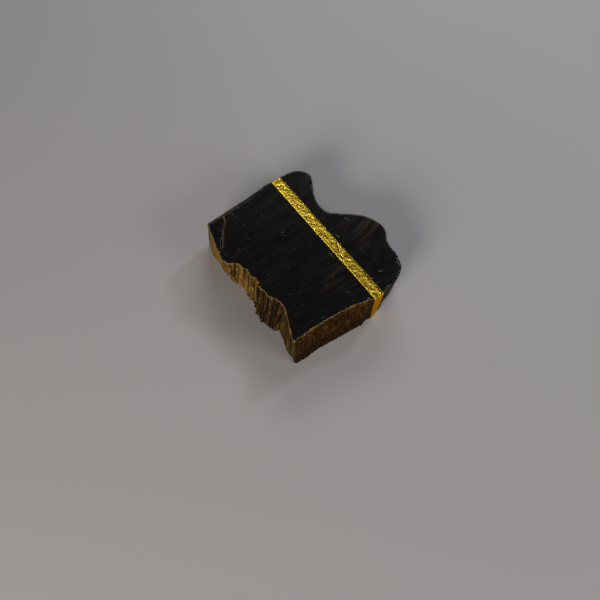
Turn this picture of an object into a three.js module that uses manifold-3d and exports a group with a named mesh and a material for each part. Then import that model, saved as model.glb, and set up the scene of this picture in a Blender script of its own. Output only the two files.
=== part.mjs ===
import * as THREE from 'three';
import { mergeVertices } from 'three/addons/utils/BufferGeometryUtils.js';
import Module from 'manifold-3d';

// Ink stick in the form of a split block of old wood: a black polished cake of soot and glue,
// a corner parted from it by a crack, a brown pigment coat on its sides, and a band of gold leaf.
// Millimetres, +Z up. The origin is the middle of the resting face. +Y runs along the gold band,
// +X points to the side with the round lobe and the nose.

const wasm = await Module();
wasm.setup();

// Driving sizes
const thickness = 12.5; // resting face to polished face
const coatThickness = 0.4; // pigment on the sides
const leafThickness = 0.15; // gold leaf, drawn thicker than the real foil
const bond = 0.12; // between the cake and what covers it
const coatFoot = 0.3; // the coat stops this far above the resting face
const parting = 0.15; // half the space between two coats that meet, and half the crack
const layers = 6; // rows of facets up the sides

const bandMiddle = 7.5; // the gold band, across X
const bandWidth = 3.7;
const channelDepth = leafThickness + bond; // under the cake, so that the leaf stays off the table
const channelSide = 0.2;

const frontSpread = 2.0; // the front side slopes out by this much at its foot
const lobeUndercut = 1.8; // and the lobe tucks in beside it
// The split side stands out or back at its foot where its fibres run out, at these places along Y.
const splitBulges = [
  { out: 1.2, y: -18, halfWidth: 3 },
  { out: 2.6, y: -10.2, halfWidth: 4.2 },
  { out: 1.3, y: 0, halfWidth: 4.5 },
  { out: -2.7, y: 11, halfWidth: 2.6 },
  { out: -1.6, y: 16.5, halfWidth: 3 },
];
const wornSlope = 0.55; // fall of the worn facet along the back edge
const wornReach = 3; // how far the facet could run before it leaves the cake
const leafShortfall = 0.2; // the leaf on a flat face ends this far inside the outline
const tinyGap = 1e-3; // points nearer than this are one point

const points = (list) => list.map(([x, y]) => new THREE.Vector2(x, y));
const curve = (list, count) => new THREE.SplineCurve(points(list)).getPoints(count);

// The outline at the polished face, in stretches that follow each other anticlockwise.
// Each stretch is covered by a coat or by the leaf, of the thickness given.
const bandLeft = bandMiddle - bandWidth / 2;
const bandRight = bandMiddle + bandWidth / 2;
const crackBack = new THREE.Vector2(-13.8, 26.0);
const crackLeft = new THREE.Vector2(-23.6, 13.6);
const nearCorner = new THREE.Vector2(-23.0, -23.5);

const outline = {
  front: {
    cover: coatThickness,
    line: points([
      nearCorner.toArray(), [-19.3, -23.8], [-14.4, -23.5], [-7.8, -23.9], [-3.7, -24.3],
      [-0.1, -24.7], [2.1, -25.6], [4.6, -25.9], [bandLeft, -26.6],
    ]),
  },
  bandFront: {
    cover: leafThickness,
    line: points([[bandLeft, -26.6], [bandRight, -26.6]]),
  },
  lobe: {
    cover: coatThickness,
    line: [
      ...curve([
        [bandRight, -26.6], [12.3, -25.7], [15.2, -25.2], [18.1, -23.8], [20.2, -21.6],
        [21.6, -18.0], [21.8, -14.4], [22.8, -11.5],
      ], 18),
      ...curve([
        [22.8, -11.5], [24.3, -9.2], [24.6, -6.9], [23.6, -3.2], [21.2, 0.5], [15.9, 4.9],
        [13.5, 7.6], [12.9, 10.2], [14.0, 14.2], [16.5, 18.6], [18.0, 21.4], [17.7, 23.6],
        [16.0, 25.6], [13.0, 26.7], [bandRight, 26.9],
      ], 46).slice(1),
    ],
  },
  bandBack: {
    cover: leafThickness,
    line: points([[bandRight, 26.9], [bandLeft, 27.0]]),
  },
  back: {
    cover: coatThickness,
    line: points([
      [bandLeft, 27.0], [3.0, 27.0], [-1.3, 26.6], [-6.7, 26.3], [-10.5, 26.4],
      crackBack.toArray(),
    ]),
  },
  corner: {
    cover: coatThickness,
    line: points([
      crackBack.toArray(), [-19.9, 25.7], [-20.4, 24.4], [-21.5, 21.2], [-22.5, 18.0],
      [-23.1, 15.5], crackLeft.toArray(),
    ]),
  },
  split: {
    cover: coatThickness,
    line: points([
      crackLeft.toArray(), [-24.5, 11.0], [-23.8, 9.6], [-22.6, 8.5], [-20.9, 7.6],
      [-20.5, 5.6], [-19.8, 3.7], [-20.6, 2.3], [-20.2, 0.9], [-19.4, 0.0], [-20.9, -2.2],
      [-20.2, -4.0], [-20.1, -7.3], [-18.9, -8.5], [-18.3, -11.6], [-18.6, -13.4],
      [-19.7, -16.3], [-21.1, -18.9], [-22.3, -21.5], nearCorner.toArray(),
    ]),
  },
};

// The crack across the corner, from the back side to the left end.
const crackLine = points([
  [-13.9, 24.6], [-15.1, 22.4], [-16.9, 20.8], [-18.6, 19.0], [-20.2, 17.2], [-21.7, 15.3],
]);

const ramp = (value, from, to) => THREE.MathUtils.clamp((value - from) / (to - from), 0, 1);
const bump = (value, middle, width) => Math.exp(-(((value - middle) / width) ** 2));

// How far a point of the outline moves at the foot of its side. Each ramp fades one side's part
// in or out between two places along X or Y, so that the sides run into each other.
function spreadAtFoot(x, y) {
  const atFront = ramp(y, -17, nearCorner.y) * (1 - ramp(x, 0, bandLeft));
  const atLobe = ramp(y, -18, -24) * ramp(x, bandLeft, 13);
  const atSplit = ramp(x, -12, -18) * ramp(y, -26, -22);
  const out = splitBulges.reduce((sum, bulge) => sum + bulge.out * bump(y, bulge.y, bulge.halfWidth), 0);
  return new THREE.Vector2(-out * atSplit, lobeUndercut * atLobe - frontSpread * atFront);
}

// Each point of a closed loop moved inwards, along the mitre of its two edges.
function inwards(loop, index, distance) {
  const here = loop[index];
  const before = loop[(index + loop.length - 1) % loop.length];
  const after = loop[(index + 1) % loop.length];
  const inNormal = (from, to) => new THREE.Vector2(from.y - to.y, to.x - from.x).normalize();
  const first = inNormal(before, here);
  const mitre = first.clone().add(inNormal(here, after)).normalize();
  const reach = distance / Math.max(mitre.dot(first), 0.5);
  const moved = here.clone().addScaledVector(mitre, reach);
  moved.spread = spreadAtFoot(here.x, here.y);
  return moved;
}

// The whole loop once round, with no point twice, and where each stretch starts in it.
const loop = [];
for (const stretch of Object.values(outline)) {
  stretch.start = loop.length;
  loop.push(...stretch.line.slice(0, -1));
}

const insetStretch = (stretch, distance) =>
  stretch.line.map((_, index) => inwards(loop, (stretch.start + index) % loop.length, distance));

// A closed shape raised between two heights, with its sides spread at the foot.
function raise(shapePoints, low, high) {
  const shape = new THREE.Shape(shapePoints);
  const settings = { depth: high - low, steps: layers, bevelEnabled: false, curveSegments: 1 };
  const geometry = new THREE.ExtrudeGeometry(shape, settings);
  geometry.translate(0, 0, low);
  const place = geometry.attributes.position;
  const vertex = new THREE.Vector2();
  for (let i = 0; i < place.count; i++) {
    vertex.fromBufferAttribute(place, i);
    const own = shapePoints.find((point) => point.distanceTo(vertex) < tinyGap);
    const spread = own.spread ?? spreadAtFoot(own.x, own.y);
    const share = 1 - place.getZ(i) / thickness;
    place.setX(i, place.getX(i) + spread.x * share);
    place.setY(i, place.getY(i) + spread.y * share);
  }
  return geometry;
}

// Between three.js geometry and the solids that can be cut.
function toSolid(geometry) {
  const bare = geometry.clone();
  bare.deleteAttribute('normal');
  bare.deleteAttribute('uv');
  const merged = mergeVertices(bare, tinyGap);
  return new wasm.Manifold(new wasm.Mesh({
    numProp: 3,
    vertProperties: new Float32Array(merged.attributes.position.array),
    triVerts: new Uint32Array(merged.index.array),
  }));
}

function toGeometry(solid) {
  const { vertProperties, triVerts } = solid.getMesh();
  const geometry = new THREE.BufferGeometry();
  geometry.setAttribute('position', new THREE.BufferAttribute(vertProperties, 3));
  geometry.setIndex(new THREE.BufferAttribute(triVerts, 1));
  geometry.computeVertexNormals();
  return geometry;
}

// What wear has taken off the back edge: a block over the polished face whose underside falls
// away from wornLine, where the facet starts, and which runs out towards the band.
const wornLine = points([
  [-24, 24.3], [-16.4, 24.3], [-11.3, 24.6], [-7.6, 24.7], [-3.5, 25.2], [2.8, 26.9],
]);

function wornBlock() {
  const height = 1;
  const farLine = wornLine.map((point) => point.clone().add(new THREE.Vector2(0, wornReach)));
  const plan = new THREE.Shape([...wornLine, ...farLine.reverse()]);
  const block = new THREE.ExtrudeGeometry(plan, { depth: height, bevelEnabled: false });
  const place = block.attributes.position;
  const isFar = (i) => farLine.some((point) =>
    point.distanceTo(new THREE.Vector2(place.getX(i), place.getY(i))) < tinyGap);
  for (let i = 0; i < place.count; i++) {
    if (place.getZ(i) < height / 2 && isFar(i)) {
      place.setZ(i, -wornReach * wornSlope);
    }
  }
  block.translate(0, 0, thickness);
  return block;
}

// The groove in the resting face that the leaf lies in. It runs past the cake at both ends.
function channelUnderCake() {
  const height = 2;
  const length = 70;
  const box = new THREE.BoxGeometry(bandWidth + 2 * channelSide, length, height);
  box.translate(bandMiddle, 0, channelDepth - height / 2);
  return box;
}

const wornSolid = toSolid(wornBlock());
const worn = (geometry) => toGeometry(toSolid(geometry).subtract(wornSolid));

// The crack's two faces, a little apart. The line runs from the back to the left end.
const crackFace = (side) => crackLine.map((point, index) => {
  const before = crackLine[Math.max(index - 1, 0)];
  const after = crackLine[Math.min(index + 1, crackLine.length - 1)];
  const along = after.clone().sub(before).normalize();
  return point.clone().add(new THREE.Vector2(-along.y, along.x).multiplyScalar(side * parting));
});

// Moves the two ends of an open line towards its middle.
function shortened(line, distance) {
  const last = line.length - 1;
  const shift = (end, next) => {
    const moved = line[end].clone().add(line[next].clone().sub(line[end]).setLength(distance));
    moved.spread = line[end].spread;
    return moved;
  };
  return [shift(0, 1), ...line.slice(1, last), shift(last, last - 1)];
}

function inkCake() {
  const around = [];
  const add = (stretch, trimmed) => {
    const inset = insetStretch(stretch, stretch.cover + bond);
    around.push(...(trimmed ? shortened(inset, parting) : inset));
  };
  add(outline.front);
  add(outline.bandFront);
  add(outline.lobe);
  add(outline.bandBack);
  add(outline.back, true);
  around.push(...crackFace(1));
  add(outline.split, true);
  const raised = raise(around, 0, thickness);
  const cut = toSolid(raised).subtract(toSolid(channelUnderCake())).subtract(wornSolid);
  return toGeometry(cut);
}

function cornerFlake() {
  const outside = shortened(insetStretch(outline.corner, coatThickness + bond), parting);
  return worn(raise([...outside, ...crackFace(-1).reverse()], 0, thickness));
}

function sideCoat(stretch) {
  const outer = shortened(stretch.line, parting);
  const inner = shortened(insetStretch(stretch, coatThickness), parting);
  return raise([...outer, ...inner.reverse()], coatFoot, thickness);
}

// The leaf on a side of the cake, from the resting face to the polished face.
function leafOnSide(stretch) {
  const outer = shortened(stretch.line, parting);
  const inner = shortened(insetStretch(stretch, leafThickness), parting);
  return raise([...outer, ...inner.reverse()], leafThickness, thickness);
}

// The leaf on a flat face, as long as the cake is under it. Its ends follow the sides' edges,
// which at the resting face are the outline moved by its spread.
function leafOnFace(low, isResting) {
  const ends = [...outline.bandFront.line, ...outline.bandBack.line];
  const plan = ends.map((end) => {
    const edge = isResting ? end.clone().add(spreadAtFoot(end.x, end.y)) : end.clone();
    return edge.setY(edge.y - Math.sign(edge.y) * leafShortfall);
  });
  const settings = { depth: leafThickness, bevelEnabled: false };
  return new THREE.ExtrudeGeometry(new THREE.Shape(plan), settings).translate(0, 0, low);
}

const finish = (color, roughness, metalness) =>
  new THREE.MeshStandardMaterial({ color, roughness, metalness });
const blackInk = '#100e0e';
const brownCoat = '#4a3416';
const splitCoat = '#6b5426';
const goldLeaf = '#b59a32';

const stick = new THREE.Group();
function addPiece(name, geometry, material) {
  const mesh = new THREE.Mesh(geometry, material);
  mesh.name = name;
  stick.add(mesh);
}

addPiece('ink_cake', inkCake(), finish(blackInk, 0.35, 0));
addPiece('corner_flake', cornerFlake(), finish(blackInk, 0.35, 0));
addPiece('front_coat', sideCoat(outline.front), finish(brownCoat, 0.5, 0));
addPiece('lobe_coat', sideCoat(outline.lobe), finish(brownCoat, 0.5, 0));
addPiece('back_coat', worn(sideCoat(outline.back)), finish(brownCoat, 0.5, 0));
addPiece('corner_coat', worn(sideCoat(outline.corner)), finish(splitCoat, 0.5, 0));
addPiece('split_coat', sideCoat(outline.split), finish(splitCoat, 0.6, 0));
addPiece('gold_leaf_top', leafOnFace(thickness + bond, false), finish(goldLeaf, 0.3, 1));
addPiece('gold_leaf_front', leafOnSide(outline.bandFront), finish(goldLeaf, 0.3, 1));
addPiece('gold_leaf_back', leafOnSide(outline.bandBack), finish(goldLeaf, 0.3, 1));
addPiece('gold_leaf_bottom', leafOnFace(0, true), finish(goldLeaf, 0.3, 1));

export default stick;
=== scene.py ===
import functools
import itertools
import math
import bpy
import numpy as np
from mathutils import Matrix, Vector, geometry
from mathutils.bvhtree import BVHTree
from mathutils.kdtree import KDTree


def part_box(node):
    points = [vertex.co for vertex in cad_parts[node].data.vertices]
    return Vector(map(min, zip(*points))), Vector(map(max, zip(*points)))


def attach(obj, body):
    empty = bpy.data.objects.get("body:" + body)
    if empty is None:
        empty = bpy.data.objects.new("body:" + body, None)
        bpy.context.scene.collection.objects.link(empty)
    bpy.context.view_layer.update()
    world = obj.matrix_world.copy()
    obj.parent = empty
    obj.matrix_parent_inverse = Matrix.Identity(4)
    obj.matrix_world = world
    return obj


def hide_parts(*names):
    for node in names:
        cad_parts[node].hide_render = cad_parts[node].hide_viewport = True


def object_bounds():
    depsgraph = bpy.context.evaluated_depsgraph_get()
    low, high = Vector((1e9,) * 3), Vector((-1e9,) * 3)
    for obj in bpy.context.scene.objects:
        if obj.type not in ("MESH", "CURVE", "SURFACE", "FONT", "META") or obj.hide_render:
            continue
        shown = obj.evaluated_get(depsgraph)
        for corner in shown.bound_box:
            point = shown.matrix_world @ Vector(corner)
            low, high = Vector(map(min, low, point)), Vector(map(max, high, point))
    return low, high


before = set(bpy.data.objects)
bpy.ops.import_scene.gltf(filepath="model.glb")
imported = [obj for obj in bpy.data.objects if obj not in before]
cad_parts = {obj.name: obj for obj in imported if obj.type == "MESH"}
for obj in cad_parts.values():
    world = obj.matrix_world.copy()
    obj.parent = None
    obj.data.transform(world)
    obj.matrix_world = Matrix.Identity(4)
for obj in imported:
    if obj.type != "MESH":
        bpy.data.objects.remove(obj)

# An ink stick in the form of a split block of old wood. Lengths below are in mm unless a line says
# otherwise, and become metres where a mesh is made.
mm = 0.001
hashPrimes = np.array([73856093, 19349663, 83492791, 49979687])
hashSize = 4096      # random values behind each noise, a power of two


def sizeOf(corners):
    return [[round(value, 6) for value in corner] for corner in corners]


cadBox = sizeOf(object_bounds())
boxLow = np.array(cadBox[0]) / mm
boxHigh = np.array(cadBox[1]) / mm
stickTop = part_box("ink_cake")[1].z / mm
print("frame loaded, box", cadBox)


def latticeNoise(where, seed):
    # smooth noise from -1 to 1 at each row of where, with one lump to a unit
    table = np.random.default_rng(seed).random(hashSize) * 2 - 1
    cell = np.floor(where).astype(np.int64)
    part = where - cell
    fade = part ** 3 * (part * (part * 6 - 15) + 10)
    primes = hashPrimes[:where.shape[1]]
    total = np.zeros(len(where))
    for corner in itertools.product((0, 1), repeat=where.shape[1]):
        corner = np.array(corner)
        key = np.bitwise_xor.reduce((cell + corner) * primes, axis=1) & (hashSize - 1)
        total += table[key] * np.where(corner, fade, 1 - fade).prod(axis=1)
    return total


def layeredNoise(where, seed, layers=3, gain=0.5):
    # noise with finer and weaker layers added
    total = np.zeros(len(where))
    for layer in range(layers):
        total += gain ** layer * latticeNoise(where * 2 ** layer, seed + layer)
    return total


def ramp(value, start, end):
    # 0 at the start, 1 at the end, with soft ends
    t = np.clip((value - start) / (end - start), 0, 1)
    return t * t * (3 - 2 * t)


def blurRing(values, width, step):
    # blurs values that run round a closed loop
    reach = int(3 * width / step) + 1
    kernel = np.exp(-0.5 * (np.arange(-reach, reach + 1) * step / width) ** 2)
    kernel /= kernel.sum()
    values = np.asarray(values, float)
    padded = np.concatenate([values[-reach:], values, values[:reach]])
    if padded.ndim == 1:
        return np.convolve(padded, kernel, "valid")
    return np.stack([np.convolve(column, kernel, "valid") for column in padded.T], 1)


def makePiece(name, points, faces, replaced, material, values=None):
    # points in mm; values are named numbers, one for each point, that the material reads
    points = np.clip(np.asarray(points, float), boxLow, boxHigh)
    mesh = bpy.data.meshes.new(name)
    mesh.from_pydata((points * mm).tolist(), [], faces)
    for valueName, numbers in (values or {}).items():
        layer = mesh.attributes.new(valueName, "FLOAT", "POINT")
        layer.data.foreach_set("value", np.asarray(numbers, np.float32))
    mesh.validate()
    mesh.shade_smooth()
    mesh.materials.append(material)
    piece = bpy.data.objects.new(name, mesh)
    bpy.context.scene.collection.objects.link(piece)
    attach(piece, "root")
    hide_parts(*replaced)
    print(name, len(mesh.polygons), "faces")


def linear(hexColour):
    # sRGB hex to the linear colour that shaders take
    parts = [int(hexColour[i:i + 2], 16) / 255 for i in (0, 2, 4)]
    return [c / 12.92 if c <= 0.04045 else ((c + 0.055) / 1.055) ** 2.4 for c in parts] + [1.0]


def addNode(tree, kind, *values, settings=None, output=0, **named):
    # one node with its settings and links; a value is a number, a colour or another node's output,
    # and goes to the next input in order or to the input of that name
    node = tree.nodes.new("ShaderNode" + kind)
    for key, value in (settings or {}).items():
        setattr(node, key, value)
    sockets = list(node.inputs[:len(values)])
    for key in named:
        sockets.append(next(s for s in node.inputs if key in (s.identifier, s.name.replace(" ", "_"))))
    for socket, value in zip(sockets, [*values, *named.values()]):
        if isinstance(value, bpy.types.NodeSocket):
            tree.links.new(value, socket)
        else:
            socket.default_value = value
    return node if output is None else node.outputs[output]


def newMaterial(name):
    # an empty material, and addNode ready to use on it
    material = bpy.data.materials.new(name)
    material.use_nodes = True
    material.node_tree.nodes.clear()
    return material, functools.partial(addNode, material.node_tree)


# settings that many nodes share
operations = ("ADD", "SUBTRACT", "MULTIPLY", "MAXIMUM")
add, subtract, multiply, larger = [{"operation": name} for name in operations]
softStep = {"interpolation_type": "SMOOTHSTEP"}
colours = {"data_type": "RGBA"}


def addPatterns(node, where, patterns):
    # each pattern is noise: the size of its lumps in mm along X, Y and Z, its detail, its roughness
    found = {}
    for name, (size, detail, roughness) in patterns.items():
        scaled = node("Mapping", where, Scale=[1 / (part * mm) for part in size])
        found[name] = node("TexNoise", scaled, Scale=1.0, Detail=detail, Roughness=roughness)
    return found


inkLook = {
    "body": "0b0a0c",        # near black, slightly cold
    "streak": "35281f",      # brown streaks of the block's grain
    "nick": "45474f",        # broken polish scatters light
    "worn": "62522c",        # brown where the edge is rubbed through
    "roughness": 0.2,        # polished, but not a mirror
    "dullness": 0.45,        # added where it is nicked or worn
    "fan": 8.0,              # how the streaks fan out on the lobe
    "fannedPatterns": {
        "streaks": ((14, 1.3, 6), 5.0, 0.65),
        "patches": ((16, 9, 9), 2.0, 0.6),
        "smear": ((9, 2.5, 3), 4.0, 0.6),
        "fine": ((4, 1.2, 1), 3.0, 0.6),
    },
    "patterns": {"wear": ((2.5, 0.5, 0.8), 4.0, 0.6)},
    "bump": 0.004,
}


def polishedInk(look):
    # polished ink cake: looks black and softly glossy, with faint brown streaks
    material, node = newMaterial("polishedInk")
    marks = {name: node("Attribute", settings={"attribute_name": name}, output="Fac")
             for name in ("streak", "worn", "nick")}
    where = node("TexCoord", output="Object")
    parts = node("SeparateXYZ", where).node.outputs
    right = node("Math", parts[0], 0.0, settings=larger)
    bend = node("Math", node("Math", right, right, settings=multiply), look["fan"], settings=multiply)
    turned = node("CombineXYZ", parts[0], node("Math", parts[1], bend, settings=subtract), parts[2])
    found = addPatterns(node, turned, look["fannedPatterns"]) | addPatterns(node, where, look["patterns"])

    spread = node("MapRange", found["patches"], 0.42, 0.62, 0.0, 0.28, settings=softStep)
    spread = node("Math", spread, marks["streak"], settings=add)
    streaks = node("MapRange", found["streaks"], 0.46, 0.68, settings=softStep)
    amount = node("Math", streaks, spread, settings=multiply)
    wear = node("MapRange", found["wear"], 0.30, 0.62, 0.25, 1.0, settings=softStep)
    rubbed = node("Math", marks["worn"], wear, settings=multiply)
    colour = linear(look["body"])
    for factor, name in ((amount, "streak"), (rubbed, "worn"), (marks["nick"], "nick")):
        colour = node("Mix", settings=colours, output=2, Factor_Float=factor, A_Color=colour,
                      B_Color=linear(look[name]))
    dull = node("Math", marks["nick"], rubbed, settings=larger)
    dull = node("Math", dull, look["dullness"], settings=multiply)
    smear = node("MapRange", found["smear"], 0.3, 0.7, look["roughness"] - 0.02, look["roughness"] + 0.03,
                 settings=softStep)
    rough = node("Math", dull, smear, settings=add)
    bump = node("Bump", Height=found["fine"], Distance=look["bump"] * mm, Strength=1.0)
    surface = node("BsdfPrincipled", Base_Color=colour, Roughness=rough, Normal=bump)
    node("OutputMaterial", surface, output=None)
    return material


coatLook = {
    # the base colour, which also stands as painted shade in the grooves
    "deep": "1a0e02",
    "brown": "392104",
    "gold": "5a3c12",
    "chip": "96794a",          # bare, pale edge where the coat is chipped
    "roughness": 0.6,
    "reflection": 0.06,        # a dry, porous pigment reflects little
    "patterns": {
        "blobs": ((1.3, 1.3, 1.8), 4.0, 0.6),
        "strokes": ((0.8, 0.8, 6), 4.0, 0.6),      # upright brush strokes
        "specks": ((0.5, 0.5, 0.5), 3.0, 0.6),     # where the rim is chipped
    },
    "bump": 0.10,
}


def brushedPigment(look):
    # brown and gold pigment brushed on the moulded skin: looks matt and mottled
    material, node = newMaterial("brushedPigment")
    marks = {name: node("Attribute", settings={"attribute_name": name}, output="Fac")
             for name in ("groove", "tone", "rim")}
    found = addPatterns(node, node("TexCoord", output="Object"), look["patterns"])
    blobs, strokes = found["blobs"], found["strokes"]
    # less brown shows in the grooves: partly thinner pigment, partly painted shade
    raised = node("Math", strokes, node("Math", marks["groove"], 0.12, settings=multiply), settings=subtract)
    raised = node("MapRange", raised, 0.36, 0.60, settings=softStep)
    bright = node("MapRange", marks["tone"], 0.0, 0.15, 0.25, 1.0, settings=softStep)
    brown = node("Math", raised, bright, settings=multiply)
    spots = node("MapRange", blobs, 0.50, 0.68, settings=softStep)
    gold = node("Math", spots, bright, settings=multiply)
    specks = node("MapRange", found["specks"], 0.38, 0.56, settings=softStep)
    chip = node("Math", marks["rim"], specks, settings=multiply)
    colour = linear(look["deep"])
    for factor, name in ((brown, "brown"), (gold, "gold"), (chip, "chip")):
        colour = node("Mix", settings=colours, output=2, Factor_Float=factor, A_Color=colour,
                      B_Color=linear(look[name]))
    rough = node("MapRange", blobs, 0.4, 0.7, look["roughness"] + 0.1, look["roughness"] - 0.12,
                 settings=softStep)
    grain = node("Math", blobs, node("Math", strokes, 0.7, settings=multiply), settings=add)
    bump = node("Bump", Height=grain, Distance=look["bump"] * mm, Strength=1.0)
    surface = node("BsdfPrincipled", Base_Color=colour, Roughness=rough, Normal=bump,
                   Specular_IOR_Level=look["reflection"])
    node("OutputMaterial", surface, output=None)
    return material


splitLook = {
    # the base colour, which also stands as painted shade in the grooves and the cleft
    "deep": "120b03",
    "brown": "493614",
    "gold": "8f6f33",
    "roughness": 0.6,
    "reflection": 0.12,        # a little more where metal powder is rubbed on
    "patterns": {
        "fibres": ((0.42, 0.42, 7), 3.0, 0.6),     # real fibres are finer, these are the finest that show
        "patches": ((1.6, 1.6, 3.5), 3.0, 0.6),
    },
    "bump": 0.12,
}


def rubbedFibres(look):
    # gold powder rubbed over brown fibres: catches the ridges and leaves the grooves dark, a darkness that
    # is partly painted shade
    material, node = newMaterial("rubbedFibres")
    marks = {name: node("Attribute", settings={"attribute_name": name}, output="Fac")
             for name in ("groove", "tone", "rim")}
    found = addPatterns(node, node("TexCoord", output="Object"), look["patterns"])
    # grooves, breaks and the cleft turn deep brown: partly bare of gold, partly painted shade
    shade = node("Math", marks["groove"], 0.52, settings=multiply)
    lifted = node("Math", found["fibres"], shade, settings=subtract)
    lifted = node("Math", lifted, node("Math", marks["tone"], 0.28, settings=multiply), settings=add)
    brown = node("MapRange", lifted, 0.32, 0.58, settings=softStep)
    ridges = node("MapRange", lifted, 0.57, 0.74, settings=softStep)
    patches = node("MapRange", found["patches"], 0.34, 0.58, 0.12, 1.0, settings=softStep)
    rubbed = node("Math", ridges, patches, settings=multiply)
    edge = node("Math", marks["rim"], 0.8, settings=multiply)
    colour = linear(look["deep"])
    for factor, name in ((brown, "brown"), (rubbed, "gold"), (edge, "gold")):
        colour = node("Mix", settings=colours, output=2, Factor_Float=factor, A_Color=colour,
                      B_Color=linear(look[name]))
    rough = node("MapRange", rubbed, 0.0, 1.0, look["roughness"] + 0.15, look["roughness"] - 0.12,
                 settings=softStep)
    bump = node("Bump", Height=found["fibres"], Distance=look["bump"] * mm, Strength=1.0)
    surface = node("BsdfPrincipled", Base_Color=colour, Roughness=rough, Normal=bump,
                   Specular_IOR_Level=look["reflection"])
    node("OutputMaterial", surface, output=None)
    return material


leafLook = {
    "gold": "d4bb40",          # leaf alloyed with silver looks greenish
    "shade": "8f7319",
    # painted reflection: the side runs are coloured a warmer gold, standing in for warm surroundings
    # mirrored in them
    "sideReflectionGold": "ffc430",      # the runs down the sides look warmer
    "roughness": 0.24,
    "patterns": {
        "stain": ((0.6, 0.9, 0.9), 4.0, 0.65),
        "wrinkles": ((0.35, 0.35, 0.6), 3.0, 0.6),
    },
    "bump": 0.09,
}


def goldLeaf(look):
    # beaten gold leaf, crumpled as it was laid: bright creases between darker flats
    material, node = newMaterial("goldLeaf")
    side = node("Attribute", settings={"attribute_name": "side"}, output="Fac")
    found = addPatterns(node, node("TexCoord", output="Object"), look["patterns"])
    clean = node("MapRange", found["stain"], 0.35, 0.6, settings=softStep)
    colour = linear(look["shade"])
    # the stain gives darker patches at random; the side runs, and the underside at half strength, take the
    # painted reflection colour
    for factor, name in ((clean, "gold"), (side, "sideReflectionGold")):
        colour = node("Mix", settings=colours, output=2, Factor_Float=factor, A_Color=colour,
                      B_Color=linear(look[name]))
    rough = node("MapRange", found["stain"], 0.3, 0.7, look["roughness"] + 0.14, look["roughness"] - 0.06,
                 settings=softStep)
    bump = node("Bump", Height=found["wrinkles"], Distance=look["bump"] * mm, Strength=1.0)
    surface = node("BsdfPrincipled", Base_Color=colour, Roughness=rough, Normal=bump, Metallic=1.0,
                   Specular_Tint=linear(look["gold"]))
    node("OutputMaterial", surface, output=None)
    return material


def paleTable():
    # painted board: a plain pale matt ground that shows the shadow
    material, node = newMaterial("paleTable")
    node("OutputMaterial", node("BsdfPrincipled", Base_Color=linear("a9aab0"), Roughness=0.6), output=None)
    return material


inkMaterial = polishedInk(inkLook)
coatMaterial = brushedPigment(coatLook)
splitMaterial = rubbedFibres(splitLook)
leafMaterial = goldLeaf(leafLook)
print("materials made")


outlineSettings = {
    "step": 0.15,          # between two columns, round the sides
    "lowHeight": 1.0,      # the CAD sides are straight between these two heights
    "highHeight": 10.8,
    "guideBlur": 2.2,      # the smooth line that the sides stand off from
    "roundBlur": 0.9,      # takes the facets off the lobe, the bay and the nose
    "sharpBlur": 0.22,
    "turnStep": 0.1,       # degrees between the rays that first find the outline
    "centreRadius": 12,    # no side lies nearer to the middle than this
    "reach": 6,            # a side is looked for this far in and out of the guide
}
coverNodes = ["front_coat", "gold_leaf_front", "lobe_coat", "gold_leaf_back", "back_coat",
              "corner_coat", "split_coat"]


def nodeTree(names):
    # CAD pieces as one search tree in mm, and the name of the piece behind each face
    points, faces, owner = [], [], []
    for name in names:
        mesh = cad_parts[name].data
        first = len(points)
        points += [tuple(vertex.co / mm) for vertex in mesh.vertices]
        faces += [tuple(first + i for i in face.vertices) for face in mesh.polygons]
        owner += [name] * len(mesh.polygons)
    return BVHTree.FromPolygons(points, faces), owner


coverTree, coverOwner = nodeTree(coverNodes)
solidTree, _ = nodeTree(coverNodes + ["ink_cake", "corner_flake"])


def resampleLoop(points, step):
    # a closed loop as evenly spaced points, and their exact spacing
    closed = np.vstack([points, points[:1]])
    along = np.concatenate([[0], np.cumsum(np.linalg.norm(np.diff(closed, axis=0), axis=1))])
    count = int(along[-1] / step)
    at = np.linspace(0, along[-1], count, endpoint=False)
    return np.stack([np.interp(at, along, closed[:, k]) for k in (0, 1)], 1), along[-1] / count


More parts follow.
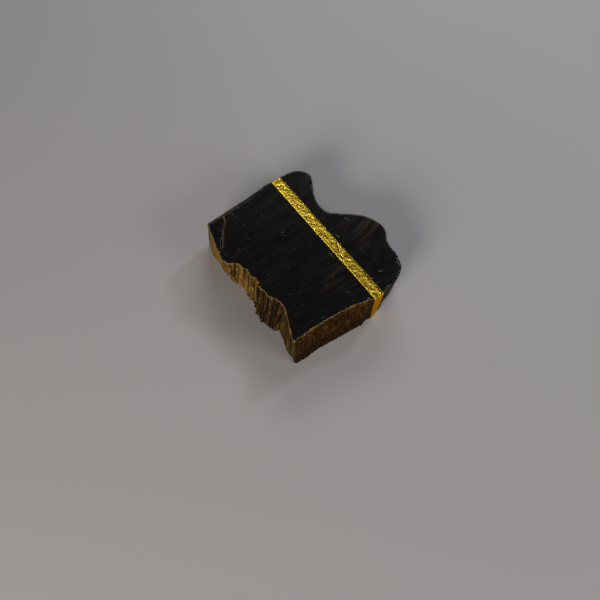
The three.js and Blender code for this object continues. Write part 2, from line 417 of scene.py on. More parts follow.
def traceSides(settings):
    # columns of points round the stick at two heights, with the CAD piece behind each
    middle = (settings["lowHeight"] + settings["highHeight"]) / 2
    traced = []
    for angle in np.arange(0, 360, settings["turnStep"]):
        turn = math.radians(angle)
        out = Vector((math.cos(turn), math.sin(turn), 0))
        hit = coverTree.ray_cast(out * 60 + Vector((0, 0, middle)), -out)[0]
        if hit is not None and hit.dot(out) > settings["centreRadius"]:
            traced.append((hit.x, hit.y))
    ring, _ = resampleLoop(np.array(traced), settings["step"])
    guide = blurRing(ring, settings["guideBlur"], settings["step"])
    guide, step = resampleLoop(guide, settings["step"])
    along = blurRing(np.roll(guide, -1, 0) - np.roll(guide, 1, 0), 0.6, step)
    along /= np.linalg.norm(along, axis=1)[:, None]
    outward = np.stack([along[:, 1], -along[:, 0]], 1)

    count = len(guide)
    span = settings["reach"]
    reach = {}
    owner = [None] * count
    for level in ("highHeight", "lowHeight"):
        found = np.full(count, np.nan)
        for i in range(count):
            away = Vector((*outward[i], 0))
            start = Vector((*guide[i], settings[level])) + away * span
            hit, _, face, far = coverTree.ray_cast(start, -away, 2 * span)
            if hit is not None:
                inner = solidTree.ray_cast(start, -away, 2 * span)[3]
                if abs(inner - far) < 0.05:
                    found[i] = span - far
                    owner[i] = coverOwner[face]
        good = ~np.isnan(found)
        order = np.arange(count)
        found = np.interp(order, order[good], found[good], period=count)
        reach[level] = found
    known = [i for i in range(count) if owner[i]]
    for i in range(count):
        if owner[i] is None:
            owner[i] = owner[min(known, key=lambda k: min(abs(k - i), count - abs(k - i)))]
    owner = np.array(owner)
    roundness = blurRing((owner == "lobe_coat").astype(float), 0.5, step)
    for level, found in reach.items():
        soft = blurRing(found, settings["roundBlur"], step)
        sharp = blurRing(found, settings["sharpBlur"], step)
        reach[level] = soft * roundness + sharp * (1 - roundness)
    # turn the loop so that it starts where the lobe's coat meets the gold
    first = next(i for i in range(count)
                 if owner[i] == "lobe_coat" and owner[i - 1] == "gold_leaf_front")
    sides = {"step": step, "count": count, "along": np.arange(count) * step,
             "owner": np.roll(owner, -first), "outward": np.roll(outward, -first, 0)}
    for level in reach:
        line = guide + outward * reach[level][:, None]
        sides[level] = np.roll(line, -first, 0)
    return sides


def topHeight(x, y):
    # height of the CAD model's upper face, also beside a narrow gap
    down = Vector((0, 0, -1))
    for aside in ((0, 0), (0.4, 0), (-0.4, 0), (0, 0.4), (0, -0.4)):
        hit = solidTree.ray_cast(Vector((x + aside[0], y + aside[1], 40)), down)[0]
        if hit is not None and hit.z > stickTop - 2.5:
            return hit.z
    return stickTop


sides = traceSides(outlineSettings)
print("sides traced,", sides["count"], "columns")


# relief of the sides: fibres where the block split, a rougher skin elsewhere
reliefSettings = {
    "seed": 11,
    "bundleWidth": (0.5, 1.5),   # one bundle of fibres, across
    "bundleStand": 0.34,          # how far bundles stand out or back
    "wander": 0.45,               # how far a bundle strays to the side on its way up
    "fineWander": 0.12,
    "grooveDepth": 0.55,          # between two bundles
    "breakShare": 0.45,           # bundles that have snapped
    "breakHeight": (1.5, 11.5),
    "breakDepth": 0.45,           # step where a bundle has snapped
    "fibrePitch": 0.32,           # single fibres, drawn as coarse as they can show
    "fibreDepth": 0.10,
    "skinLump": 2.2,              # smooth lumps of the other sides
    "skinDepth": 0.10,
    "grainPitch": 0.7,            # upright grain in that skin
    "grainDepth": 0.07,
}
# a hole near the foot, under the ends of the gilt fibres; its inside is painted near black as painted shade
cleft = {"y": -1.9, "lean": 0.1, "width": 3.6, "low": 0.3, "top": 4.4, "depth": 1.8}
# where the gilt fibres break off
goldEdge = {"y": -0.7, "lean": 0.3, "step": 0.55, "fade": 5.0}
# the dark part spreads at its foot, between these two places along Y
footBulge = {"low": -13.4, "high": -3.0, "edge": 1.2, "out": 1.35, "top": 7}


def softOwner(names, width):
    # 1 on the columns of the named CAD pieces, with ends blurred over this width
    return blurRing(np.isin(sides["owner"], names).astype(float), width, sides["step"])


def pastGoldEdge(y, height):
    # how far a place on the split lies past the edge where the gilt fibres break off
    return goldEdge["y"] - goldEdge["lean"] * (stickTop - height) - y


splitShare = softOwner(["split_coat"], 0.5)
leafShare = softOwner(["gold_leaf_front", "gold_leaf_back"], 0.12)


def fibreBundles(settings):
    # where each bundle starts round the loop, how far it stands out, and where it has snapped
    rng = np.random.default_rng(settings["seed"])
    length = sides["along"][-1] + sides["step"]
    starts = [0.0]
    while starts[-1] < length:
        starts.append(starts[-1] + rng.uniform(*settings["bundleWidth"]))
    count = len(starts)
    return {"starts": np.array(starts), "stand": rng.uniform(-1, 0.8, count),
            "snapped": rng.uniform(size=count) < settings["breakShare"],
            "snapAt": rng.uniform(*settings["breakHeight"], count),
            "snapDepth": rng.uniform(0.4, 1.0, count), "snapUp": rng.uniform(size=count) < 0.7}


bundles = fibreBundles(reliefSettings)


def sideRelief(columns, heights):
    # outward relief, and the darkness of grooves, breaks and the cleft (partly bare of pigment, partly
    # painted shade), at each column and height, both arrays of that shape
    settings = reliefSettings
    along = np.broadcast_to(sides["along"][columns][:, None], heights.shape).ravel()
    height = heights.ravel()
    share = np.broadcast_to(splitShare[columns][:, None], heights.shape).ravel()
    leaf = np.broadcast_to(leafShare[columns][:, None], heights.shape).ravel()

    wander = settings["wander"] * latticeNoise(np.stack([along / 7, height / 9], 1), 3)
    fineWander = settings["fineWander"] * latticeNoise(np.stack([along / 1.5, height / 3], 1), 4)
    wandered = along + wander + fineWander
    which = np.clip(np.searchsorted(bundles["starts"], wandered) - 1, 0, len(bundles["starts"]) - 2)
    start = bundles["starts"][which]
    width = bundles["starts"][which + 1] - start
    across = (wandered - start) / width * 2 - 1
    stand = bundles["stand"][which] * settings["bundleStand"]
    groove = np.abs(across) ** 5
    ragged = 0.5 * latticeNoise(np.stack([along * 3, height], 1), 8)
    snap = np.where(bundles["snapUp"][which], 1, -1) * (height - bundles["snapAt"][which] - ragged)
    snapped = bundles["snapped"][which] * ramp(snap, -0.12, 0.12) * bundles["snapDepth"][which]
    fibre = latticeNoise(np.stack([wandered / settings["fibrePitch"], height / 9], 1), 5)
    fibre += 0.5 * latticeNoise(np.stack([wandered / settings["fibrePitch"] * 2, height / 5], 1), 6)
    split = (stand - groove * settings["grooveDepth"] * np.minimum(width, 1.2)
             - snapped * settings["breakDepth"] + fibre * settings["fibreDepth"])

    lumps = layeredNoise(np.stack([along, height], 1) / settings["skinLump"], 21)
    grain = layeredNoise(np.stack([wandered / settings["grainPitch"], height / 8], 1), 31, 2)
    skin = lumps * settings["skinDepth"] + grain * settings["grainDepth"]

    y = np.broadcast_to(sides["lowHeight"][columns][:, None, 1], heights.shape).ravel()
    # the fibres are flatter towards the near corner and under the upper edge
    calm = 1 - 0.65 * ramp(y, -11, -13.5) * ramp(y, 30, 25)
    calm *= 1 - 0.45 * ramp(height, stickTop - 1.4, stickTop - 0.3)
    relief = (split * calm * share + skin * (1 - share)) * (1 - leaf)
    # grooves and breaks hold no gold and are also darkened as painted shade, the fibres that stand out hold
    # most
    dark = (groove * 0.8 + snapped * 0.5 - fibre * 0.35 - stand * 0.6) * share
    # on the other sides, low grain and lumps are drawn darker: painted shade
    dark += (-grain * 0.35 - lumps * 0.3) * (1 - share)

    # past the gold's edge the face steps back, and the cleft narrows towards its top
    past = pastGoldEdge(y, height)
    step = ramp(past, -0.1, 0.15) * ramp(past, goldEdge["fade"], 0) * ramp(height, 2, 8)
    relief -= goldEdge["step"] * step * share
    bulge = ramp(y, footBulge["low"], footBulge["low"] + footBulge["edge"])
    bulge *= ramp(y, footBulge["high"], footBulge["high"] - footBulge["edge"])
    relief += footBulge["out"] * bulge * ramp(height, footBulge["top"], 0.5) * share
    narrow = np.sqrt(np.clip(1 - (height / cleft["top"]) ** 2, 1e-4, 1))
    beside = np.abs(y - cleft["y"] - cleft["lean"] * height) / (cleft["width"] / 2 * narrow)
    hole = ramp(beside, 1.25, 0.75) * ramp(narrow, 0.1, 0.4) * share
    relief -= hole * cleft["depth"] * (0.15 + 0.85 * ramp(height, cleft["low"], cleft["low"] + 0.5))
    # the cleft is painted near black: painted shade in the hole and on its lip
    dark = np.maximum(dark, hole * 3)
    return relief.reshape(heights.shape), dark.reshape(heights.shape)


# the upper rim: how wide the coat shows from above, and where it is chipped
rimSettings = {
    "seed": 5,
    "width": 0.22,         # the coat's edge as seen from above
    "drop": 0.07,          # rounding at its outer edge
    "chips": 46,
    "chipLength": (0.3, 1.3),
    "chipDepth": (0.10, 0.45),
    "rows": 5,             # points round the rim in each profile
}
wallSettings = {
    "rows": 44,            # points up the wall in each profile
    "innerEvery": 4,       # the hidden inside of the coat takes every fourth of them
    "foot": 0.02,          # height of the lowest row
    "footRound": 0.10,
    "coatThickness": 0.25,
}


def edgeChips(settings):
    # how deep the upper edge is chipped at each column
    rng = np.random.default_rng(settings["seed"])
    chip = np.zeros(sides["count"])
    length = sides["count"] * sides["step"]
    rough = softOwner(["front_coat", "split_coat"], 1.0)
    for _ in range(settings["chips"]):
        middle = rng.uniform(0, length)
        half = rng.uniform(*settings["chipLength"])
        depth = rng.uniform(*settings["chipDepth"])
        away = np.abs((sides["along"] - middle + length / 2) % length - length / 2)
        chip = np.maximum(chip, depth * np.clip(1 - (away / half) ** 2, 0, 1) * (0.35 + 0.65 * rough))
    chip += 0.04 * layeredNoise(sides["along"][:, None] / 0.5, 12)
    return np.clip(chip * (1 - leafShare), 0, 1)


chipDepth = edgeChips(rimSettings)
rimWidth = rimSettings["width"] * (1 + 0.5 * latticeNoise(sides["along"][:, None] / 1.4, 14))
rimWidth = np.clip(rimWidth + 0.8 * chipDepth, 0.08, 0.8)
darkShare = softOwner(["lobe_coat", "back_coat"], 0.8)    # the lobe and back sides are drawn darker: less tone and pale rim colour, and a narrower rim
rimWidth = rimWidth * (1 - 0.6 * darkShare)
rimDrop = rimSettings["drop"] + chipDepth


def baseLine(columns, heights):
    # the CAD sides, as points at each column and height
    low, high = outlineSettings["lowHeight"], outlineSettings["highHeight"]
    share = ((heights - low) / (high - low))[..., None]
    lowLine, highLine = sides["lowHeight"][columns], sides["highHeight"][columns]
    return lowLine[:, None, :] * (1 - share) + highLine[:, None, :] * share


allColumns = np.arange(sides["count"])
topBase = baseLine(allColumns, np.full((sides["count"], 1), stickTop))[:, 0]
topAt = np.array([topHeight(*(topBase[i] - sides["outward"][i] * 0.25)) for i in allColumns])


def wallPoints(columns, inset):
    # rows of points up the wall, from the foot to the rim, moved inwards by inset
    edge = (topAt - rimDrop)[columns]
    share = np.linspace(0, 1, wallSettings["rows"])
    heights = wallSettings["foot"] + share[None, :] * (edge - wallSettings["foot"])[:, None]
    relief, dark = sideRelief(columns, heights)
    foot = wallSettings["footRound"] * ramp(heights, 0.35, 0.0)
    flat = baseLine(columns, heights)
    moved = flat + sides["outward"][columns][:, None, :] * (relief - foot - inset)[..., None]
    return np.concatenate([moved, heights[..., None]], 2), dark


def sideProfiles(columns, thickness):
    # one closed profile for each column: up the outside, over the rim, down the inside
    rimRows, wallRows = rimSettings["rows"], wallSettings["rows"]
    outer, dark = wallPoints(columns, 0)
    out = sides["outward"][columns]
    lip = outer[:, -1]
    rim = []
    for k in range(1, rimRows + 1):
        t = k / rimRows
        at = lip.copy()
        at[:, :2] -= out * (rimWidth[columns] * (1 - math.cos(t * math.pi / 2)))[:, None] * 0.6
        at[:, :2] -= out * (rimWidth[columns] * t)[:, None] * 0.4
        at[:, 2] += (rimDrop[columns] - 0.02) * math.sin(t * math.pi / 2)
        rim.append(at)
    inner = wallPoints(columns, thickness)[0][:, ::-wallSettings["innerEvery"]]
    inner[:, 0, 2] -= 0.1
    profile = np.concatenate([outer, np.stack(rim, 1), inner], 1)
    rimValue = np.zeros(profile.shape[:2])
    rimValue[:, wallRows - 1:wallRows + rimRows] = np.linspace(0.3, 1, rimRows + 1)
    rimValue *= 1 - 0.85 * darkShare[columns][:, None]
    darkness = np.concatenate([dark, np.repeat(dark[:, -1:], profile.shape[1] - wallRows, 1)], 1)
    return profile, darkness, rimValue


def loft(profiles):
    # closed skin over a row of closed profiles that all have the same number of points
    count, ring = profiles.shape[:2]
    faces = []
    for c in range(count - 1):
        for r in range(ring):
            a, b = c * ring + r, c * ring + (r + 1) % ring
            faces.append((a, a + ring, b + ring, b))
    faces.append(tuple(range(ring)))
    faces.append(tuple((count - 1) * ring + r for r in reversed(range(ring))))
    return profiles.reshape(-1, 3), faces


toneSettings = {
    "y": (-24, -23.2, -22.95, -22.7, -22.3, -20, -16, -13, -11, 0),
    "gold": (0.1, 0.1, 0.95, 0.95, 0.05, 0.12, 0.25, 0.3, 0.0, 0.0),    # a thin line by the corner
    "edge": 0.5,           # along the upper edge
}


def goldTone(columns, heights):
    # how much gold is rubbed on: most on the far half, little in the middle, some by the corner
    y = np.broadcast_to(sides["lowHeight"][columns][:, None, 1], heights.shape)
    near = np.interp(y, toneSettings["y"], toneSettings["gold"])
    near = np.maximum(near, toneSettings["edge"] * ramp(heights, stickTop - 1.3, stickTop - 0.5))
    near *= 1 - ramp(y, -22.4, -22.9) * ramp(heights, 6, 3) * 0.9
    gilt = ramp(pastGoldEdge(y, heights), 0.15, -0.15)
    towardsBack = np.clip(sides["outward"][columns][:, None, 1], 0, 1)
    return (near * (1 - gilt) + gilt) * (1 - ramp(towardsBack, 0.45, 0.8) * 0.85)


def buildCoat(nodeName, pieceName, material):
    columns = np.flatnonzero(sides["owner"] == nodeName)
    profiles, dark, rim = sideProfiles(columns, wallSettings["coatThickness"])
    points, faces = loft(profiles)
    tone = goldTone(columns, profiles[..., 2]) * (1 - darkShare[columns][:, None])
    # the groove values carry the darkness of grooves and the cleft, partly painted shade
    makePiece(pieceName, points, faces, [nodeName], material,
              {"groove": dark.ravel(), "rim": rim.ravel(), "tone": tone.ravel()})


buildCoat("front_coat", "frontCoat", coatMaterial)
buildCoat("lobe_coat", "lobeCoat", coatMaterial)
buildCoat("back_coat", "backCoat", coatMaterial)
buildCoat("corner_coat", "cornerCoat", splitMaterial)
buildCoat("split_coat", "splitCoat", splitMaterial)
print("coats built")


# the cake and the corner that has parted from it
cakeSettings = {
    "seed": 23,
    "grid": 0.24,            # spacing of the points on the polished face
    "edgeRound": 0.06,       # rounding of its edge
    "grainRise": 0.010,      # faint ridges of the polished face, along the streaks
    "wornDepth": 0.9,        # drop of the face where its edge is fully worn
    "wornRough": 0.06,
    "crackWidth": 0.10,
    "crackWander": 0.10,
    "crackEdge": 0.05,       # the crack's upper edges are broken by this much
    "crackStep": 0.15,
    "nicks": 130,
    "nickLengths": (0.25, 0.7, 1.6, 2.8),
    "nickOdds": (0.42, 0.30, 0.20, 0.08),
    "nickHalf": (0.03, 0.06),
    "nickDepth": (0.25, 0.55),    # as a share of half its width
    "underGrid": 0.6,
    "underRise": 0.05,
    "underSeat": 0.10,       # room for the leaf under the cake
}


def crackPath(settings):
    # from the back side to the left end, through the CAD crack's corners
    owner = sides["owner"]
    back = next(i for i in allColumns if owner[i] == "back_coat" and owner[i + 1] == "corner_coat")
    left = next(i for i in allColumns if owner[i] == "corner_coat" and owner[i + 1] == "split_coat")
    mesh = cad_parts["corner_flake"].data
    corners = set()
    for vertex in mesh.vertices:
        at = vertex.co / mm
        if 5 < at.z < 7 and coverTree.find_nearest(at)[3] > 0.5:
            corners.add((round(at.x, 2), round(at.y, 2)))
    corners = sorted(corners, key=lambda point: -point[1])
    inside = lambda i: topBase[i] - sides["outward"][i] * rimWidth[i]
    line = np.array([inside(back), *corners, inside(left)])
    along = np.concatenate([[0], np.cumsum(np.linalg.norm(np.diff(line, axis=0), axis=1))])
    at = np.arange(0, along[-1], settings["crackStep"])
    path = np.stack([np.interp(at, along, line[:, k]) for k in (0, 1)], 1)
    across = np.gradient(path, axis=0)
    across = np.stack([across[:, 1], -across[:, 0]], 1) / np.linalg.norm(across, axis=1)[:, None]
    calm = np.minimum(1, np.minimum(at, along[-1] - at) / 1.5)
    wander = settings["crackWander"] * layeredNoise(at[:, None] / 1.1, 17) * calm
    return path + across * wander[:, None], across, back, left


crackLine, crackAcross, crackBack, crackLeft = crackPath(cakeSettings)


def crackWall(side):
    # points down one face of the crack, leaning with the sides at both of its ends
    line = crackLine + crackAcross * side * cakeSettings["crackWidth"] / 2
    top = np.array([topHeight(*point) for point in line]) - cakeSettings["crackEdge"]
    share = np.linspace(0, 1, wallSettings["rows"])
    heights = wallSettings["foot"] + share[None, :] * (top - wallSettings["foot"])[:, None]
    flat = np.repeat(line[:, None, :], wallSettings["rows"], 1)
    ends = cakeWall(np.array([crackBack, crackLeft]))[..., :2]
    for end, order in zip(ends, (1, -1)):
        away = np.arange(len(line))[::order] * cakeSettings["crackStep"]
        flat += np.clip(1 - away / 4, 0, 1)[:, None, None] * (end - end[-2])[None]
    return np.concatenate([flat, heights[..., None]], 2)


def cakeWall(columns):
    # the cake's side behind the coat, up to the inner edge of the rim
    wall = wallPoints(columns, wallSettings["coatThickness"] + 0.01)[0]
    lip = wallPoints(columns, 0)[0][:, -1]
    wall[:, -1, :2] = lip[:, :2] - sides["outward"][columns] * rimWidth[columns][:, None]
    wall[:, -1, 2] = topAt[columns] - cakeSettings["edgeRound"] * 0.5
    return wall


def distanceTo(ring, points):
    # distance from each point to the nearest point of the ring
    tree = KDTree(len(ring))
    for i, (x, y) in enumerate(ring):
        tree.insert((x, y, 0), i)
    tree.balance()
    return np.array([tree.find((x, y, 0))[2] for x, y in points])


def makeNicks(settings):
    # short curved scratches in the polish: points of each line, half width and depth
    rng = np.random.default_rng(settings["seed"])
    nicks = []
    low, high = topBase.min(0), topBase.max(0)
    for _ in range(settings["nicks"]):
        start = rng.uniform(low, high)
        turn = rng.uniform(0, 2 * math.pi)
        bend = rng.normal(0, 0.5)
        length = rng.choice(settings["nickLengths"], p=settings["nickOdds"]) * rng.uniform(0.6, 1.4)
        stations = max(3, int(length / 0.09))
        angles = turn + np.linspace(0, bend, stations)
        steps = np.stack([np.cos(angles), np.sin(angles)], 1) * length / stations
        line = start + np.cumsum(steps, 0)
        half = rng.uniform(*settings["nickHalf"])
        nicks.append({"line": line, "across": np.stack([-np.sin(angles), np.cos(angles)], 1),
                      "half": half, "depth": half * rng.uniform(*settings["nickDepth"])})
    return nicks


def capSurface(ring, step, extra=None):
    # triangles across a ring of points; returns the inner points too
    low, high = ring.min(0), ring.max(0)
    xs, ys = np.arange(low[0], high[0], step), np.arange(low[1], high[1], step)
    grid = np.stack(np.meshgrid(xs, ys), -1).reshape(-1, 2)
    grid += np.random.default_rng(4).uniform(-0.2, 0.2, grid.shape) * step
    grid = grid[pointsInside(grid, ring)]
    grid = grid[distanceTo(ring, grid) > step * 0.6]
    if extra is not None and len(extra):
        grid = np.vstack([grid[distanceTo(extra, grid) > step * 0.45], extra])
    points = np.vstack([ring, grid])
    count = len(ring)
    edges = [(i, (i + 1) % count) for i in range(count)]
    made, _, faces, origin, _, _ = geometry.delaunay_2d_cdt(
        [Vector(p) for p in points.tolist()], edges, [], 1, 1e-6, True)
    source = [ids[0] if ids else -1 for ids in origin]
    flat = np.array([tuple(p) for p in made])
    middles = np.array([flat[list(face)].mean(0) for face in faces])
    faces = [face for face, within in zip(faces, pointsInside(middles, ring)) if within]
    used = sorted({i for face in faces for i in face if source[i] < 0 or source[i] >= count})
    number = {i: count + k for k, i in enumerate(used)}
    number.update({i: source[i] for i in range(len(flat)) if 0 <= source[i] < count})
    return flat[used], [tuple(number[i] for i in face) for face in faces]


nicks = makeNicks(cakeSettings)


def polishedHeights(points, ring):
    # height, nick mark and wear of the polished face at each point
    base = np.array([topHeight(x, y) for x, y in points])
    worn = np.clip((stickTop - base) / cakeSettings["wornDepth"], 0, 1)
    line = np.exp(-((worn - 0.55) / 0.13) ** 2)     # a dark line along the middle of the worn strip
    edge = distanceTo(ring, points)
    grain = layeredNoise(points * [0.08, 0.45], 41, 2)
    rough = layeredNoise(points / 0.5, 43)
    height = base + grain * cakeSettings["grainRise"]
    height += rough * cakeSettings["wornRough"] * ramp(worn, 0, 0.15)
    height -= cakeSettings["edgeRound"] * (1 - ramp(edge, 0, 0.35)) ** 2
    mark = np.zeros(len(points))
    tree = KDTree(len(points))
    for i, (x, y) in enumerate(points):
        tree.insert((x, y, 0), i)
    tree.balance()
    for nick in nicks:
        count = len(nick["line"])
        for k, (x, y) in enumerate(nick["line"]):
            fade = math.sin(math.pi * (k + 0.5) / count) ** 0.5
            for _, i, away in tree.find_range((x, y, 0), nick["half"]):
                strength = (1 - (away / nick["half"]) ** 2) * fade
                if strength > mark[i]:
                    height[i] = min(height[i], base[i] - nick["depth"] * strength)
                    mark[i] = strength
    return height, mark, worn * (1 - 0.85 * line)


def streakShare(points):
    # the brown grain shows most on the lobe and in one patch near the front
    x, y = points.T
    lobe = ramp(x, 11, 17) * ramp(y, -15, -4)
    patch = np.exp(-((x - 1) / 5) ** 2 - ((y + 12.5) / 6) ** 2)
    return np.maximum(lobe * 0.85, patch * 0.45)


def nickPoints(ring):
    # points along and beside each scratch, so that its groove is in the mesh
    found = []
    for nick in nicks:
        for side in (-1.0, 0.0, 1.0):
            found.append(nick["line"] + nick["across"] * nick["half"] * side * 1.02)
    found = np.vstack(found)
    found = found[pointsInside(found, ring)]
    return found[distanceTo(ring, found) > 0.3]


def pointsInside(points, ring):
    # counts how often a ray from each point crosses the ring
    inside = np.zeros(len(points), bool)
    for a, b in zip(ring, np.roll(ring, -1, 0)):
        crosses = (a[1] > points[:, 1]) != (b[1] > points[:, 1])
        if crosses.any():
            where = a[0] + (b[0] - a[0]) * (points[:, 1] - a[1]) / (b[1] - a[1] + 1e-12)
            inside ^= crosses & (points[:, 0] < where)
    return inside


def buildBlock(nodeName, pieceName, wall, crackCount):
    # wall holds a column of points for each point round the block, anticlockwise
    count, rows = wall.shape[:2]
    faces = []
    for c in range(count):
        for r in range(rows - 1):
            a, b = c * rows + r, (c + 1) % count * rows + r
            faces.append((a, b, b + 1, a + 1))
    points = [wall.reshape(-1, 3)]
    total = count * rows
    wallWear = np.zeros(total)
    wallWear.reshape(count, rows)[count - crackCount:, -3:] = 1

    topRing = wall[:, -1, :2]
    inner, triangles = capSurface(topRing, cakeSettings["grid"], nickPoints(topRing))
    height, mark, worn = polishedHeights(inner, topRing)
    for triangle in triangles:
        faces.append(tuple(total + i - count if i >= count else i * rows + rows - 1 for i in triangle))
    points.append(np.column_stack([inner, height]))
    total += len(inner)

    footRing = wall[:, 0, :2]
    under, triangles = capSurface(footRing, cakeSettings["underGrid"])
    raised = leafSeat(under) + cakeSettings["underRise"] * (0.6 + 0.4 * layeredNoise(under / 1.5, 51))
    for triangle in triangles:
        faces.append(tuple(reversed([total + i - count if i >= count else i * rows for i in triangle])))
    points.append(np.column_stack([under, raised]))

    blank = np.zeros(len(under))
    values = {"nick": np.concatenate([np.zeros(count * rows), mark, blank]),
              "streak": np.concatenate([blank[:1].repeat(count * rows), streakShare(inner), blank]),
              "worn": np.concatenate([wallWear, worn, blank])}
    makePiece(pieceName, np.vstack(points), faces, [nodeName], inkMaterial, values)


bandLow, bandHigh = [corner.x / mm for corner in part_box("gold_leaf_top")]
bandMiddle = (bandLow + bandHigh) / 2
bandHalf = (bandHigh - bandLow) / 2


def leafSeat(points):
    # the underside steps up a little to let the leaf pass beneath it
    return cakeSettings["underSeat"] * ramp(bandHalf + 0.5 - np.abs(points[:, 0] - bandMiddle), 0, 0.3)


cakeColumns = np.concatenate([np.arange(crackLeft + 1, sides["count"]), np.arange(crackBack + 1)])
cakeWalls = np.concatenate([cakeWall(cakeColumns), crackWall(-1)[1:-1]])
buildBlock("ink_cake", "inkCake", cakeWalls, len(crackLine) - 2)
flakeColumns = np.arange(crackBack + 1, crackLeft + 1)
flakeWalls = np.concatenate([cakeWall(flakeColumns), crackWall(1)[::-1][1:-1]])
buildBlock("corner_flake", "cornerFlake", flakeWalls, len(crackLine) - 2)


# the gold leaf: four runs round the stick
leafSettings = {
    "step": 0.08,
    "crumple": 1.05,       # width of the largest facets on the top run
    "crumpleRise": 0.17,
    "lift": 0.03,          # least height over the ink
    "edgeWander": 0.05,
    "endRound": 0.28,      # the turn over the stick's upper edges
    "sideRise": 0.03,
    "sideRows": 90,
    "sideDepth": 0.12,     # how far the side runs reach into the coat's line
    # sharp folds on the top run: middle x and y, turn from X, half length
    "creases": ((8.2, -5.4, 1.13, 2.9), (7.0, -8.8, 1.5, 1.1), (7.6, 14.6, 0.6, 1.2), (7.9, 22.7, 1.0, 1.6)),
    "creaseRise": 1.2,     # height over the highest facets
    "creaseHalf": 0.55,    # half its width; its flank then leans enough to catch the light
    "underRows": 200,
    "underColumns": 16,
}


def leafShell(pieceName, nodeName, outer, inner, values):
    # closed sheet between two grids of points
    rows, columns = outer.shape[:2]
    total = rows * columns
    number = lambda side, r, c: side * total + r * columns + c
    faces = []
    for r, c in itertools.product(range(rows - 1), range(columns - 1)):
        corners = ((r, c), (r, c + 1), (r + 1, c + 1), (r + 1, c))
        faces.append(tuple(number(0, *corner) for corner in corners))
        faces.append(tuple(number(1, *corner) for corner in reversed(corners)))
    for r in range(rows - 1):
        faces.append((number(0, r + 1, 0), number(1, r + 1, 0), number(1, r, 0), number(0, r, 0)))
        c = columns - 1
        faces.append((number(0, r, c), number(1, r, c), number(1, r + 1, c), number(0, r + 1, c)))
    for c in range(columns - 1):
        faces.append((number(0, 0, c), number(1, 0, c), number(1, 0, c + 1), number(0, 0, c + 1)))
        r = rows - 1
        faces.append((number(0, r, c + 1), number(1, r, c + 1), number(1, r, c), number(0, r, c)))
    points = np.concatenate([outer.reshape(-1, 3), inner.reshape(-1, 3)])
    doubled = {name: np.concatenate([v.ravel(), v.ravel()]) for name, v in values.items()}
    makePiece(pieceName, points, faces, [nodeName], leafMaterial, doubled)


def facetNoise(where, seed):
    # flat triangular facets between random heights, from -1 to 1
    rng = np.random.default_rng(seed)
    table = rng.random(hashSize) * 2 - 1
    bend = [latticeNoise(where * 0.7, seed + k) for k in (1, 2)]
    bent = where + 0.4 * np.stack(bend, 1)
    cell = np.floor(bent).astype(np.int64)
    part = bent - cell

    def heightAt(right, up):
        x, y = cell[:, 0] + right, cell[:, 1] + up
        return table[((x * hashPrimes[0]) ^ (y * hashPrimes[1])) & (hashSize - 1)]

    flip = ((cell[:, 0] * hashPrimes[2]) ^ (cell[:, 1] * hashPrimes[3])) & 64 > 0
    u = np.where(flip, 1 - part[:, 0], part[:, 0])
    v = part[:, 1]
    first = np.where(flip, heightAt(1, 0), heightAt(0, 0))
    right = np.where(flip, heightAt(0, 0), heightAt(1, 0))
    up = np.where(flip, heightAt(1, 1), heightAt(0, 1))
    far = np.where(flip, heightAt(0, 1), heightAt(1, 1))
    near = first + (right - first) * u + (up - first) * v
    return np.where(u + v < 1, near, far + (up - far) * (1 - u) + (right - far) * (1 - v))


def foilCrumples(where):
    # beaten foil: flat facets of three sizes, from 0 to 1
    large = facetNoise(where, 61)
    middling = facetNoise(where / 0.45, 62)
    small = facetNoise(where / 0.22, 63)
    return np.clip(0.5 + 0.5 * (0.55 * large + 0.32 * middling + 0.13 * small), 0, 1)


def sharpCreases(x, y):
    # straight folds that stand above the facets
    folds = np.zeros(x.shape)
    for middleX, middleY, turn, half in leafSettings["creases"]:
        along = (x - middleX) * math.cos(turn) + (y - middleY) * math.sin(turn)
        beside = (y - middleY) * math.cos(turn) - (x - middleX) * math.sin(turn)
        flank = np.clip(1 - np.abs(beside) / leafSettings["creaseHalf"], 0, 1)
        folds = np.maximum(folds, flank * ramp(np.abs(along), half, half * 0.5))
    return folds * leafSettings["creaseRise"]


def leafEdges(along, seed):
    # half the band's width at each place along it, cut a little unevenly
    wander = leafSettings["edgeWander"] * layeredNoise(along[:, None] / 0.8, seed)
    return np.clip(bandHalf - 0.03 - np.abs(wander), 0.5, bandHalf)


def buildTopRun(settings):
    low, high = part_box("gold_leaf_top")
    start, end = low.y / mm + 0.02, high.y / mm - 0.02
    rows = int((end - start) / settings["step"])
    y = np.linspace(start, end, rows)
    columns = int(bandHalf * 2 / settings["step"])
    across = np.linspace(-1, 1, columns)
    left, right = leafEdges(y, 71), leafEdges(y, 72)
    reach = np.where(across[None, :] < 0, left[:, None], right[:, None])
    x = bandMiddle + across[None, :] * reach
    where = np.stack([x.ravel(), np.repeat(y, columns)], 1)
    crumple = foilCrumples(where / [settings["crumple"], settings["crumple"] * 1.15]).reshape(x.shape)
    crumple = np.maximum(crumple, sharpCreases(x, y[:, None]))
    rim = np.exp(-((1 - np.abs(across)) * bandHalf / 0.22) ** 2)[None, :]
    height = stickTop + settings["lift"] + settings["crumpleRise"] * crumple * (1 - 0.5 * rim) + 0.12 * rim
    tuck = np.minimum(y - start, end - y)[:, None]
    tuck = np.clip(tuck / settings["endRound"], 0, 1)
    fold = settings["endRound"] * (1 - np.sqrt(np.clip(1 - (1 - tuck) ** 2, 0, 1)))
    height = np.minimum(height, boxHigh[2]) - fold
    height[:, [0, -1]] = stickTop + 0.01 - fold
    outer = np.stack([x, np.broadcast_to(y[:, None], x.shape), height], 2)
    inner = outer.copy()
    inner[..., 2] = stickTop - 0.04 - fold
    leafShell("goldLeafTop", "gold_leaf_top", outer, inner, {"side": np.zeros(x.shape)})


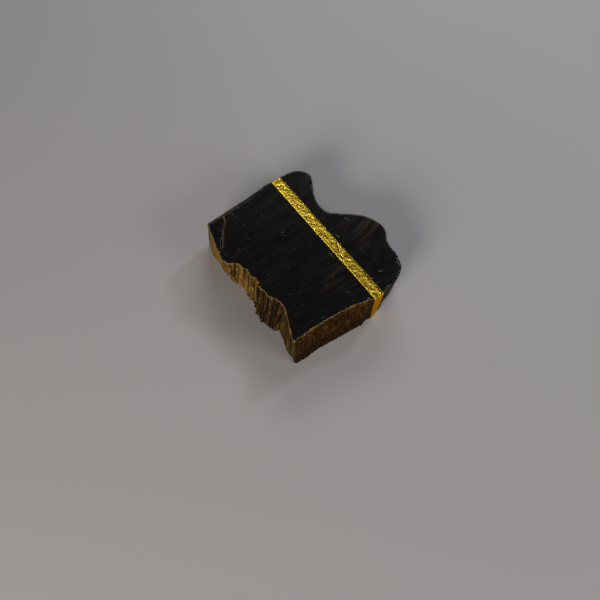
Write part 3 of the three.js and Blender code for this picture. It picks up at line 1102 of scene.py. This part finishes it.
def buildSideRun(nodeName, pieceName, seed):
    owned = np.flatnonzero(sides["owner"] == nodeName)
    columns = np.arange(owned[-1], owned[0] - 1, -1)
    fine = np.linspace(0, len(columns) - 1, len(columns) * 2)
    share = np.linspace(0, 1, leafSettings["sideRows"])
    foot, edge = 0.03, stickTop - 0.02
    heights = foot + share[:, None] * (edge - foot) + np.zeros((1, len(columns)))

    def halfway(row):
        # the same row of points with twice as many columns
        return np.stack([np.interp(fine, np.arange(len(columns)), row[:, k]) for k in (0, 1)], 1)

    flat = np.stack([halfway(row) for row in baseLine(columns, heights.T).transpose(1, 0, 2)])
    out = halfway(sides["outward"][columns])
    heights = np.repeat(heights[:, :1], len(fine), 1)
    along = np.concatenate([[0], np.cumsum(np.linalg.norm(np.diff(flat[0], axis=0), axis=1))])
    where = np.stack([np.tile(along, len(share)), heights.ravel()], 1)
    waves = layeredNoise(where / [1.3, 3.5], seed).reshape(heights.shape)
    crease = foilCrumples(where / [1.6, 2.4] + seed).reshape(heights.shape)
    lift = leafSettings["sideRise"] * (1 + waves + 0.8 * crease)
    lift -= 0.12 * ramp(heights, stickTop - 0.25, stickTop)
    outer = np.concatenate([flat + out[None] * (lift - 0.02)[..., None], heights[..., None]], 2)
    inner = np.concatenate([flat - out[None] * leafSettings["sideDepth"], heights[..., None]], 2)
    leafShell(pieceName, nodeName, outer, inner, {"side": np.ones(heights.shape)})


def footEnd(nodeName, x):
    # where the leaf turns under the stick, at each x
    columns = np.flatnonzero(sides["owner"] == nodeName)
    foot = baseLine(columns, np.zeros((len(columns), 1)))[:, 0]
    order = np.argsort(foot[:, 0])
    return np.interp(x, foot[order, 0], foot[order, 1])


def buildUnderRun(settings):
    share = np.linspace(0, 1, settings["underRows"])[:, None]
    across = np.linspace(-1, 1, settings["underColumns"])[None, :]
    x = bandMiddle + across * leafEdges(share[:, 0] * 50, 75)[:, None]
    start, end = footEnd("gold_leaf_front", x) + 0.15, footEnd("gold_leaf_back", x) - 0.15
    y = start + (end - start) * share
    crumple = foilCrumples(np.stack([x.ravel(), y.ravel()], 1) / 1.3).reshape(x.shape)
    outer = np.stack([x, y, 0.06 - 0.05 * crumple], 2)
    inner = np.stack([x, y, np.full(x.shape, 0.13)], 2)
    leafShell("goldLeafUnder", "gold_leaf_bottom", outer[:, ::-1], inner[:, ::-1],
              {"side": np.full(x.shape, 0.5)})


buildTopRun(leafSettings)
buildSideRun("gold_leaf_front", "goldLeafFront", 81)
buildSideRun("gold_leaf_back", "goldLeafBack", 82)
buildUnderRun(leafSettings)
print("gold leaf laid")


# lights: place in m, size in m, power in W, colour
studioSettings = {
    "aim": (0, 0, 0.006),
    "keyLeft": ((-0.50, -0.22, 0.26), (0.20, 0.20), 2.5, "fff4e2"),
    "fillFront": ((0.22, -0.55, 0.30), (0.30, 0.20), 1.3, "fff8f0"),
    "farGlint": ((0.48, 0.52, 0.42), (0.42, 0.20), 2.0, "fffaf2"),    # the leaf mirrors this one
    "farRight": ((0.64, 0.15, 0.45), (0.09, 0.12), 1.1, "fbf7ff"),
    "world": "8a8d92",
    "worldStrength": 0.14,
    "floorReach": 1.2,
}
cameraSettings = {
    "lens": 51.44,
    "sensor": 36,
    "place": (-96.16, -107.95, 237.54),
    "right": (0.7987, -0.6001, 0.0440),      # where the view's right and lower sides point
    "down": (-0.5077, -0.7113, -0.4861),
}


def areaLight(name, place, size, power, colour):
    light = bpy.data.lights.new(name, "AREA")
    light.shape = "RECTANGLE"
    light.size, light.size_y = size
    light.energy = power
    light.color = linear(colour)[:3]
    lamp = bpy.data.objects.new(name, light)
    bpy.context.scene.collection.objects.link(lamp)
    lamp.location = place
    towards = Vector(studioSettings["aim"]) - Vector(place)
    lamp.rotation_euler = towards.to_track_quat("-Z", "Y").to_euler()


def buildStudio(settings):
    mesh = bpy.data.meshes.new("floor")
    reach = settings["floorReach"]
    mesh.from_pydata([(-reach, -reach, 0), (reach, -reach, 0), (reach, reach, 0), (-reach, reach, 0)],
                     [], [(0, 1, 2, 3)])
    mesh.materials.append(paleTable())
    floor = bpy.data.objects.new("floor", mesh)
    bpy.context.scene.collection.objects.link(floor)

    for name in ("keyLeft", "fillFront", "farGlint", "farRight"):
        areaLight(name, *settings[name])
    world = bpy.data.worlds.new("studio")
    world.use_nodes = True
    background = world.node_tree.nodes["Background"]
    background.inputs["Color"].default_value = linear(settings["world"])
    background.inputs["Strength"].default_value = settings["worldStrength"]
    bpy.context.scene.world = world
    bpy.context.scene.view_settings.view_transform = "Standard"


def buildCamera(settings):
    camera = bpy.data.cameras.new("camera")
    camera.lens = settings["lens"]
    camera.sensor_width = settings["sensor"]
    camera.clip_start = 0.01
    holder = bpy.data.objects.new("camera", camera)
    bpy.context.scene.collection.objects.link(holder)
    bpy.context.scene.camera = holder
    right, down = Vector(settings["right"]), Vector(settings["down"])
    turn = Matrix((right, -down, -right.cross(down))).transposed()
    holder.matrix_world = Matrix.Translation(Vector(settings["place"]) * mm) @ turn.to_4x4()


buildStudio(studioSettings)
buildCamera(cameraSettings)
print("studio and camera set")
